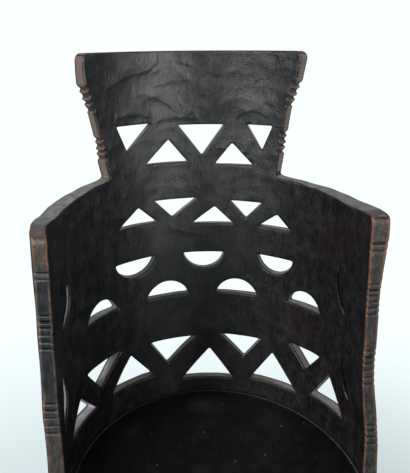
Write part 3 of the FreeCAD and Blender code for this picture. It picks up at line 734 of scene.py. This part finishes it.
def outer_marks(turns, levels):
    """Long upright strokes, thick shoulders, a thin right arm and a thin left side of the headpiece."""
    swell = np.exp(-((np.abs(turns) - 1.15) / 0.34) ** 2) * smooth(ramp(levels, 0.66, 0.09))
    right_arm = RIGHT_ARM_THINNED - RIGHT_ARM_TOP_KEPT * ramp(levels, 0.64, 0.1)
    left_head = ramp(levels, 0.80, 0.04) * ramp(-turns, 0.4, 0.3)
    marks = adze_marks(turns, levels, wide=0.050, tall=0.11, depth=0.0018, seed=8) - SHOULDER_SWELL * swell
    marks = marks - LEFT_ARM_KEPT * near_arm(turns, levels, -1) + right_arm * near_arm(turns, levels, 1)
    return marks + LEFT_HEAD_THINNED * left_head


ring = np.linspace(-math.pi, math.pi, 361)
ledge_ring = ring, np.full(len(ring), LEDGE)
crest_lines = [(turns, levels) for _, turns, levels in MESHED_STROKES]
outer_holes, tub_holes = opening_outlines(outside), opening_outlines(tub)
outer_sheet = make_sheet(wall_outline(outside), foot_outline(outside), outer_holes, OUTER_STEP, OUTER_STEP)
tub_sheet = make_sheet(wall_outline(tub), ledge_ring, tub_holes, TUB_STEP, HEAD_STEP, crest_lines)
hollow_sheet = make_sheet(ledge_ring, foot_outline(hollow), [], HOLLOW_STEP, HOLLOW_STEP)

shell_parts = MeshParts()
outer_loops = shell_parts.add_sheet(outer_sheet, outside, outer_marks, inward=True)
tub_loops = shell_parts.add_sheet(tub_sheet, tub, tub_marks, inward=False)
hollow_loops = shell_parts.add_sheet(hollow_sheet, hollow, hollow_marks, inward=False)
rim_turns, rim_levels = wall_outline(tub)
arm_faces = (np.abs(rim_turns) > ARM_TURN) & (rim_levels < 0.71)
head_faces = (rim_levels > 0.779) & (rim_levels < HEIGHT - 0.004)
arm_soot = np.where(rim_turns < 0, np.interp(rim_levels, *zip(*LEFT_ARM_SOOT)), RIGHT_ARM_SOOT) * arm_faces
shell_parts.join(tub_loops[0], outer_loops[0], closed=False,
                 soot_and_shade=notch_darkening(rim_turns, rim_levels) * (1 + 0.5 * head_faces) + arm_soot,
                 bare_and_lit=BARE_HEAD_SIDE * head_faces)
shell_parts.join(outer_loops[1], hollow_loops[1], closed=False)
shell_parts.join(hollow_loops[0], tub_loops[1], closed=False, cuts=2)
side_moons = range(len(tub_loops) - len(SIDE_MOONS), len(tub_loops))
for number, ((bearing, _), (_, heights)) in enumerate(zip(openings(), outer_holes), start=2):
    left_moon = number in side_moons and bearing < 0
    right_moon = number in side_moons and bearing > 0
    # Painted shade in the middle of the right half-moons' cut faces, painted light on the jambs, most on the
    # left ones.
    from_middle = np.abs(heights - heights.mean()) / np.ptp(heights)
    soot_and_shade = MOON_PAINTED_SHADE * right_moon * ramp(0.42 - from_middle, 0, 0.08)
    bare_and_lit = LEFT_JAMB_PAINTED_LIGHT if PAINTED_LIGHT_JAMB_BEARINGS[0] < bearing < PAINTED_LIGHT_JAMB_BEARINGS[1] else BARE_AND_LIT_JAMB
    bare_and_lit = MOON_JAMB if right_moon else bare_and_lit
    shell_parts.join(outer_loops[number], tub_loops[number], closed=True, cuts=10 if left_moon else 6,
                     soot_and_shade=soot_and_shade, bare_and_lit=bare_and_lit, lip=LEFT_MOON_SHADE_AND_LIGHT if left_moon else None)


def add_object(name, data):
    """An object in the scene, at the origin."""
    added = bpy.data.objects.new(name, data)
    bpy.context.scene.collection.objects.link(added)
    return added


def finished_mesh(name, points, faces, wear, crests=()):
    """A smooth mesh with its wear, painted light and painted shade as an attribute of its points, creased
    along its crests.
    """
    mesh = bpy.data.meshes.new(name)
    mesh.from_pydata(points.tolist(), [], [tuple(int(number) for number in face) for face in faces])
    attribute = mesh.attributes.new("wear", "FLOAT", "POINT")
    attribute.data.foreach_set("value", np.asarray(wear, np.float32))
    for polygon in mesh.polygons:
        polygon.use_smooth = True
    for edge in mesh.edges if crests else ():
        if edge.vertices[0] in crests and edge.vertices[1] in crests:
            edge.use_edge_sharp = True
    return add_object(name, mesh)


shell = finished_mesh("carved_shell", np.concatenate(shell_parts.points), shell_parts.faces,
                      np.concatenate(shell_parts.wear), shell_parts.crests)


def linear(colour):
    """An sRGB hex colour as linear red, green, blue and alpha."""
    parts = [int(colour[place:place + 2], 16) / 255 for place in (1, 3, 5)]
    return (*(part / 12.92 if part <= 0.04045 else ((part + 0.055) / 1.055) ** 2.4 for part in parts), 1)


def add_node(tree, kind, inputs=None, **settings):
    """Add a node, set its properties, and set or link its inputs."""
    node = tree.nodes.new(kind)
    for name, setting in settings.items():
        setattr(node, name, setting)
    for socket, source in (inputs or {}).items():
        if isinstance(source, bpy.types.NodeSocket):
            tree.links.new(source, node.inputs[socket])
        else:
            node.inputs[socket].default_value = source
    return node


def new_material(name):
    """An empty material, its tree and the places on the object."""
    material = bpy.data.materials.new(name)
    material.use_nodes = True
    tree = material.node_tree
    tree.nodes.clear()
    return material, tree, add_node(tree, "ShaderNodeTexCoord").outputs["Object"]


RANGE = ("Value", "From Min", "From Max", "To Min", "To Max")


def painted(tree, tone, *coats):
    """Lay coats over a tone. Each has a colour, a pattern, the two values between which the pattern brings
    the coat in, and the least and most of it, where those aren't 0 and 1."""
    for colour, *pattern in coats:
        share = add_node(tree, "ShaderNodeMapRange", dict(zip(RANGE, pattern))).outputs[0]
        colour = linear(colour) if isinstance(colour, str) else colour
        mix = add_node(tree, "ShaderNodeMix", {"Factor": share, 6: tone, 7: colour}, data_type="RGBA")
        tone = mix.outputs[2]
    return tone


# The log's wood: dense hardwood, hewn, blackened with soot and fat, and rubbed to a soft shine. The eye sees
# near-black with a fine upright grain, red-brown arrises where hands have gone through the black, brown-grey
# cut faces with painted light on them, bluish white on the left jambs, dust and painted top light on whatever
# faces up, and painted shade low in the tub and in the right half-moons. The scales are per metre.
def stained_hardwood():
    material, tree, place = new_material("stained_hardwood")
    # Fibres 3 by 12 mm and pores 2.5 mm wide, drawn ten times as coarse as real ones, which are too fine
    # to show. Streaks 13 by 80 mm, a mottle of 22 mm, clouds of 80 mm and rubbed patches of 17 mm.
    along_fibres, along_streaks = (
        add_node(tree, "ShaderNodeMapping", {"Vector": place, "Scale": scale}).outputs[0]
        for scale in ((330.0, 330.0, 80.0), (75.0, 75.0, 12.0)))
    fibres, streaks, mottle, cloud, patches, pores = (
        add_node(tree, "ShaderNodeTexNoise",
                 {"Vector": where, "Scale": scale, "Detail": detail, "Roughness": roughness}).outputs["Fac"]
        for where, scale, detail, roughness in (
            (along_fibres, 1.0, 6.0, 0.6), (along_streaks, 1.0, 4.0, 0.6), (place, 46.0, 6.0, 0.6),
            (place, 12.0, 4.0, 0.5), (place, 60.0, 6.0, 0.7), (place, 400.0, 4.0, 0.5)))
    level = add_node(tree, "ShaderNodeSeparateXYZ", {"Vector": place}).outputs["Z"]
    facing = add_node(tree, "ShaderNodeNewGeometry").outputs["Normal"]
    upward = add_node(tree, "ShaderNodeSeparateXYZ", {"Vector": facing}).outputs["Z"]
    wear = add_node(tree, "ShaderNodeAttribute", attribute_name="wear").outputs["Fac"]
    upward, streaky, patchy, rough, shine = (
        add_node(tree, "ShaderNodeMapRange", dict(zip(RANGE, numbers))).outputs[0]
        for numbers in ((upward, 0.8, 0.95), (streaks, 0.35, 0.6, 1.0, 0.55), (patches, 0.3, 0.7, 0.1, 0.9),
                        (mottle, 0.3, 0.7, 0.36, 0.52), (wear, -0.9, -0.1, 0.1, 0.5)))
    dust_and_top_light, handling, relief = (
        add_node(tree, "ShaderNodeMath", {0: first, 1: second}, operation=operation).outputs[0]
        for operation, first, second in (("MULTIPLY", upward, streaky), ("ADD", wear, patchy),
                                         ("ADD", fibres, pores)))
    handled = painted(tree, linear("#302722"), ("#524740", fibres, 0.38, 0.66))
    # Grey of bare cut faces with painted light: pale grey, and bluish white from 1.75 up, where the left
    # jambs are lit.
    chalky_and_lit = painted(tree, linear("#70665d"), ("#9c9a96", wear, 1.62, 1.68), ("#b4b6bd", wear, 1.75, 2.0),
                     ("#4c4a48", streaks, 0.4, 0.7, 0.0, 0.5))
    tone = painted(
        tree, linear("#050506"),
        ("#242427", fibres, 0.40, 0.64),
        ("#040404", streaks, 0.45, 0.7, 0.0, 0.65),
        ("#37373a", mottle, 0.5, 0.7, 0.0, 0.5),
        ("#2b1a16", cloud, 0.55, 0.75, 0.0, 0.55),
        # Painted shade: below 0.7 m the wood is mixed 30 % toward black, fading out by 0.8 m, for the shade
        # in the tub.
        ("#050505", level, 0.70, 0.80, 0.3, 0.0),
        # Dust and painted top light: faces that look up, the sills most, are made pale.
        ("#94918c", dust_and_top_light, 0.0, 1.0),
        (handled, handling, 0.7, 1.15, 0.0, 0.8),
        ("#7a4828", handling, 1.38, 1.7, 0.0, 0.8),
        (chalky_and_lit, wear, 1.32, 1.42, 0.0, 0.9),
        # Soot and painted shade: black where the mark is below 0.
        ("#030303", wear, -0.9, -0.1, 1.0, 0.0),
    )
    bump = add_node(tree, "ShaderNodeBump", {"Height": relief, "Strength": 0.6, "Distance": 0.0009})
    shader = add_node(tree, "ShaderNodeBsdfPrincipled",
                      {"Base Color": tone, "Roughness": rough, "Normal": bump.outputs[0], "IOR": 1.5,
                       "Specular IOR Level": shine})
    add_node(tree, "ShaderNodeOutputMaterial", {"Surface": shader.outputs[0]})
    return material


shell.data.materials.append(stained_hardwood())
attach(shell, "root")
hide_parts("hewn_shell")

# The seat board: one thick round board let down on the ledge, its top dished with a gouge and polished
# by sitting. It is a little smaller than the tub, so a fine joint filled with dust runs round it.
SEAT_CLEARANCE, SEAT_ARRIS, SEAT_RADIUS = 0.0005, 0.002, 0.21
DISH_RADIUS, DISH_DEPTH, DISH_AXIS = 0.168, 0.007, 0.009
DUST_WIDTH, DUST_FADE = 0.0062, 0.0015
EDGE_RINGS = np.array((0.0065, 0.0055, 0.0045, 0.0035, 0.0025, SEAT_ARRIS, 0.0015, 0.0009, 0.0004, 0.0))
SPOKES = 480


def board_wall(level):
    """The wall at the ledge, with the clearance beside it."""
    side, end = tub(LEDGE + 0 * level)
    return side + SEAT_CLEARANCE, end + SEAT_CLEARANCE


spoke_turns = np.linspace(-math.pi, math.pi, SPOKES, endpoint=False)
board_rings = []
edge = on_log(spoke_turns, np.full(SPOKES, SEAT_HEIGHT), board_wall)[0]
middle = np.array((0, -SEAT_AXIS, 0))
for share in np.concatenate((np.linspace(0.02, 0.96, 57), 1 - EDGE_RINGS / SEAT_RADIUS)):
    ring_points = middle + (edge - middle) * share
    ring_points[:, 2] = SEAT_HEIGHT
    from_edge = (1 - share) * SEAT_RADIUS
    from_dish = np.hypot(ring_points[:, 0], ring_points[:, 1] + DISH_AXIS) / DISH_RADIUS
    hollowed = DISH_DEPTH * np.clip(1 - from_dish ** 2, 0, 1)
    scoops = adze_marks(ring_points[:, 0] / FLAT, ring_points[:, 1] + 0.3, wide=0.045, tall=0.06,
                        depth=0.0007, seed=21)
    arris = SEAT_ARRIS - math.sqrt(SEAT_ARRIS ** 2 - max(0, SEAT_ARRIS - from_edge) ** 2)
    ring_points[:, 2] -= hollowed + scoops * np.clip(3 * (1.2 - from_dish), 0, 1) + arris
    board_rings.append((ring_points, min(1, max(0, (DUST_WIDTH - from_edge) / DUST_FADE))))
for level in np.linspace(SEAT_HEIGHT - SEAT_ARRIS, LEDGE, 6)[1:]:
    board_rings.append((np.column_stack((edge[:, :2], np.full(SPOKES, level))), 0))
for share in np.linspace(0.95, 0.05, 12):
    under = middle + (edge - middle) * share
    board_rings.append((np.column_stack((under[:, :2], np.full(SPOKES, LEDGE))), 0))
board_faces = []
for first in range(0, (len(board_rings) - 1) * SPOKES, SPOKES):
    for spoke in range(SPOKES):
        following, below = (spoke + 1) % SPOKES, first + SPOKES
        board_faces.append((first + spoke, below + spoke, below + following, first + following))
last = (len(board_rings) - 1) * SPOKES
board_faces += [tuple(range(SPOKES)), tuple(range(last + SPOKES - 1, last - 1, -1))]
board = finished_mesh("dished_board", np.concatenate([ring_points for ring_points, _ in board_rings]),
                      board_faces, np.repeat([wear for _, wear in board_rings], SPOKES))


# The seat's wood: the same hardwood, blacker, polished by sitting in the middle and duller at the rim. The
# eye sees black with a low sheen, a grey bloom, a few pale specks, and a dust line in the joint.
def seat_wood():
    material, tree, place = new_material("polished_seat_wood")
    # Fibres 3 by 33 mm, coarser than real ones, which are too fine to show. Bloom in patches of 33 mm.
    # Specks of about 2 mm, at most one in each 42 mm.
    laid = add_node(tree, "ShaderNodeMapping", {"Vector": place, "Scale": (300.0, 30.0, 300.0)})
    fibres = add_node(tree, "ShaderNodeTexNoise",
                      {"Vector": laid.outputs[0], "Scale": 1.0, "Detail": 5.0}).outputs["Fac"]
    bloom = add_node(tree, "ShaderNodeTexNoise",
                     {"Vector": place, "Scale": 30.0, "Detail": 6.0, "Roughness": 0.7}).outputs["Fac"]
    specks = add_node(tree, "ShaderNodeTexVoronoi", {"Vector": place, "Scale": 24.0}, voronoi_dimensions="2D")
    chosen = add_node(tree, "ShaderNodeSeparateXYZ", {"Vector": specks.outputs["Color"]}).outputs["X"]
    wear = add_node(tree, "ShaderNodeAttribute", attribute_name="wear").outputs["Fac"]
    near, chosen, rough = (
        add_node(tree, "ShaderNodeMapRange", dict(zip(RANGE, numbers))).outputs[0]
        for numbers in ((specks.outputs["Distance"], 0.015, 0.035, 0.7, 0.0), (chosen, 0.6, 0.95),
                        (bloom, 0.4, 0.7, 0.36, 0.62)))
    speck, dusty = (
        add_node(tree, "ShaderNodeMath", {0: first, 1: second}, operation=operation).outputs[0]
        for operation, first, second in (("MULTIPLY", near, chosen), ("ADD", wear, bloom)))
    tone = painted(
        tree, linear("#050505"),
        ("#0f0f0f", fibres, 0.35, 0.7),
        ("#272625", bloom, 0.5, 0.75, 0.0, 0.3),
        ("#a59f95", speck, 0.0, 1.0),
        ("#6a6762", dusty, 1.15, 1.75, 0.0, 0.85),
    )
    bump = add_node(tree, "ShaderNodeBump", {"Height": fibres, "Strength": 0.25, "Distance": 0.0005})
    shader = add_node(tree, "ShaderNodeBsdfPrincipled",
                      {"Base Color": tone, "Roughness": rough, "Normal": bump.outputs[0], "IOR": 1.5})
    add_node(tree, "ShaderNodeOutputMaterial", {"Surface": shader.outputs[0]})
    return material


board.data.materials.append(seat_wood())
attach(board, "root")
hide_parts("seat_board")


# The pegs' wood: split branch wood, whittled and darkened by smoke. The eye sees a dull dark brown with a
# fine fleck. The fleck is 1 mm wide, coarser than real fibres, which are too fine to show.
def peg_wood():
    material, tree, place = new_material("smoked_peg_wood")
    fleck = add_node(tree, "ShaderNodeTexNoise", {"Vector": place, "Scale": 900.0, "Detail": 4.0})
    tone = painted(tree, linear("#2b1c12"), ("#573b26", fleck.outputs["Fac"], 0.35, 0.7))
    shader = add_node(tree, "ShaderNodeBsdfPrincipled", {"Base Color": tone, "Roughness": 0.6})
    add_node(tree, "ShaderNodeOutputMaterial", {"Surface": shader.outputs[0]})
    return material


# The pegs: whittled to eight sides and driven through the wall into the edge of the board.
# Their ends stand a little proud outside and show end grain.
PEG_COUNT, PEG_SIDES, PEG_RADIUS, PEG_LENGTH, PEG_PROUD = 6, 8, 0.006, 0.056, 0.002
peg_level = (SEAT_HEIGHT + LEDGE) / 2
half_width, back, front, axis = log_section(peg_level, outside)
peg_headings, peg_places = [], []
for number in range(PEG_COUNT):
    heading = 2 * math.pi * (number + 0.5) / PEG_COUNT
    reach = back if math.cos(heading) > 0 else front
    far = 1 / math.hypot(math.sin(heading) / half_width, math.cos(heading) / reach) + PEG_PROUD
    peg_places.append((far * math.sin(heading), far * math.cos(heading) - axis, peg_level))
    peg_headings.append(math.pi / 2 - heading)
peg_mesh = bpy.data.meshes.new("peg_places")
peg_mesh.from_pydata(peg_places, [], [])
turn = peg_mesh.attributes.new("heading", "FLOAT", "POINT")
turn.data.foreach_set("value", np.array(peg_headings, np.float32))
group = bpy.data.node_groups.new("whittled_pegs", "GeometryNodeTree")
group.interface.new_socket("Places", in_out="INPUT", socket_type="NodeSocketGeometry")
group.interface.new_socket("Pegs", in_out="OUTPUT", socket_type="NodeSocketGeometry")
places = add_node(group, "NodeGroupInput").outputs[0]
prism = add_node(group, "GeometryNodeMeshCylinder",
                 {"Vertices": PEG_SIDES, "Side Segments": 14, "Radius": PEG_RADIUS, "Depth": PEG_LENGTH})
whittle = add_node(group, "ShaderNodeTexNoise", {"Scale": 160.0, "Detail": 1.0})
thinned = add_node(group, "ShaderNodeMapRange",
                   dict(zip(RANGE, (whittle.outputs["Fac"], 0.3, 0.7, 0.9, 1.0)))).outputs[0]
narrow = add_node(group, "ShaderNodeCombineXYZ", {0: thinned, 1: thinned, 2: 1.0})
own_place = add_node(group, "GeometryNodeInputPosition").outputs[0]
narrowed = add_node(group, "ShaderNodeVectorMath", {0: own_place, 1: narrow.outputs[0]}, operation="MULTIPLY")
whittled = add_node(group, "GeometryNodeSetPosition",
                    {"Geometry": prism.outputs["Mesh"], "Position": narrowed.outputs[0]})
lying = add_node(group, "GeometryNodeTransform",
                 {"Geometry": whittled.outputs[0], "Translation": (-PEG_LENGTH / 2, 0, 0),
                  "Rotation": (0, math.pi / 2, 0)})
heading = add_node(group, "GeometryNodeInputNamedAttribute", {"Name": "heading"}, data_type="FLOAT")
facing = add_node(group, "ShaderNodeCombineXYZ", {2: heading.outputs["Attribute"]})
driven = add_node(group, "GeometryNodeInstanceOnPoints",
                  {"Points": places, "Instance": lying.outputs[0], "Rotation": facing.outputs[0]})
real = add_node(group, "GeometryNodeRealizeInstances", {"Geometry": driven.outputs[0]})
dressed = add_node(group, "GeometryNodeSetMaterial",
                   {"Geometry": real.outputs[0], "Material": peg_wood()})
add_node(group, "NodeGroupOutput", {0: dressed.outputs[0]})
peg_points = add_object("peg_points", peg_mesh)
peg_points.modifiers.new("pegs", "NODES").node_group = group
ready = peg_points.evaluated_get(bpy.context.evaluated_depsgraph_get())
pegs = add_object("whittled_pegs", bpy.data.meshes.new_from_object(ready))
bpy.data.objects.remove(peg_points)
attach(pegs, "root")
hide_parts("seat_pegs")

# The floor: matt pale paper that goes over into the white around it.
FLOOR_RADIUS = 12.0
floor_mesh = bpy.data.meshes.new("floor")
rim_points = [(FLOOR_RADIUS * math.cos(angle), FLOOR_RADIUS * math.sin(angle), 0)
              for angle in np.linspace(0, 2 * math.pi, 96, endpoint=False)]
floor_mesh.from_pydata(rim_points, [], [tuple(range(len(rim_points)))])
floor = add_object("floor", floor_mesh)
paper, tree, place = new_material("floor_paper")
away = add_node(tree, "ShaderNodeVectorMath", {0: place}, operation="LENGTH")
fade = add_node(tree, "ShaderNodeMapRange", dict(zip(RANGE, (away.outputs["Value"], -0.4, 1.5))),
                interpolation_type="SMOOTHSTEP")
matt = add_node(tree, "ShaderNodeBsdfDiffuse", {"Color": linear("#dcf8ff")})
light = add_node(tree, "ShaderNodeEmission", {"Color": linear("#f4ffff"), "Strength": 1.06})
seen_directly = add_node(tree, "ShaderNodeLightPath").outputs["Is Camera Ray"]
share = add_node(tree, "ShaderNodeMath", {0: fade.outputs[0], 1: seen_directly}, operation="MULTIPLY")
mixed = add_node(tree, "ShaderNodeMixShader",
                 {"Fac": share.outputs[0], 1: matt.outputs[0], 2: light.outputs[0]})
add_node(tree, "ShaderNodeOutputMaterial", {"Surface": mixed.outputs[0]})
floor_mesh.materials.append(paper)

# Studio light: an even white surround, a large soft lamp from the front left above the chair, and a
# narrower one from the front right that lights the headpiece.
world = bpy.data.worlds.new("studio")
bpy.context.scene.world = world
world.use_nodes = True
tree = world.node_tree
tree.nodes.clear()
path = add_node(tree, "ShaderNodeLightPath")
seen = add_node(tree, "ShaderNodeBackground", {"Color": linear("#fbffff"), "Strength": 1.0})
direction = add_node(tree, "ShaderNodeTexCoord").outputs["Generated"]
rise = add_node(tree, "ShaderNodeSeparateXYZ", {"Vector": direction}).outputs["Z"]
strength = add_node(tree, "ShaderNodeMapRange", dict(zip(RANGE, (rise, 0.1, 0.8, 0.43, 0.16))))
lit = add_node(tree, "ShaderNodeBackground",
               {"Color": linear("#f4f8ff"), "Strength": strength.outputs[0]})
mixed = add_node(tree, "ShaderNodeMixShader",
                 {"Fac": path.outputs["Is Camera Ray"], 1: lit.outputs[0], 2: seen.outputs[0]})
add_node(tree, "ShaderNodeOutputWorld", {"Surface": mixed.outputs[0]})


def soft_lamp(name, place, target, size, power, spread_angle):
    """A square lamp that is turned toward a target."""
    data = bpy.data.lights.new(name, "AREA")
    data.shape = "SQUARE"
    data.size = size
    data.energy = power
    data.spread = math.radians(spread_angle)
    lamp = add_object(name, data)
    lamp.location = place
    lamp.rotation_euler = (Vector(target) - Vector(place)).to_track_quat("-Z", "Y").to_euler()


soft_lamp("key", (-1.95, -1.85, 1.75), (0.2, 0.0, 0.36), size=1.2, power=11.5, spread_angle=60)
soft_lamp("fill", (1.4, -1.9, 1.35), (-0.15, 0.15, 1.12), size=1.0, power=3.1, spread_angle=33)

# The camera: close in front of the chair and a little to its left, looking down into the seat.
CAMERA_PLACE = Vector((-0.1097, -0.8134, 0.9923))
CAMERA_FORWARD = Vector((0.1129, 0.9473, -0.2997))
CAMERA_UP = Vector((0.0405, 0.297, 0.954))
LENS_PIXELS, FRAME_HEIGHT_PIXELS = 650, 473
camera_data = bpy.data.cameras.new("camera")
camera_data.sensor_width = 36.0
camera_data.lens = LENS_PIXELS / FRAME_HEIGHT_PIXELS * camera_data.sensor_width
camera_data.clip_start, camera_data.clip_end = 0.01, 100.0
camera = add_object("camera", camera_data)
forward = CAMERA_FORWARD.normalized()
right = forward.cross(CAMERA_UP).normalized()
up = right.cross(forward)
camera.matrix_world = Matrix.LocRotScale(CAMERA_PLACE, Matrix((right, up, -forward)).transposed(), None)
bpy.context.scene.camera = camera
bpy.context.scene.view_settings.view_transform = "Standard"
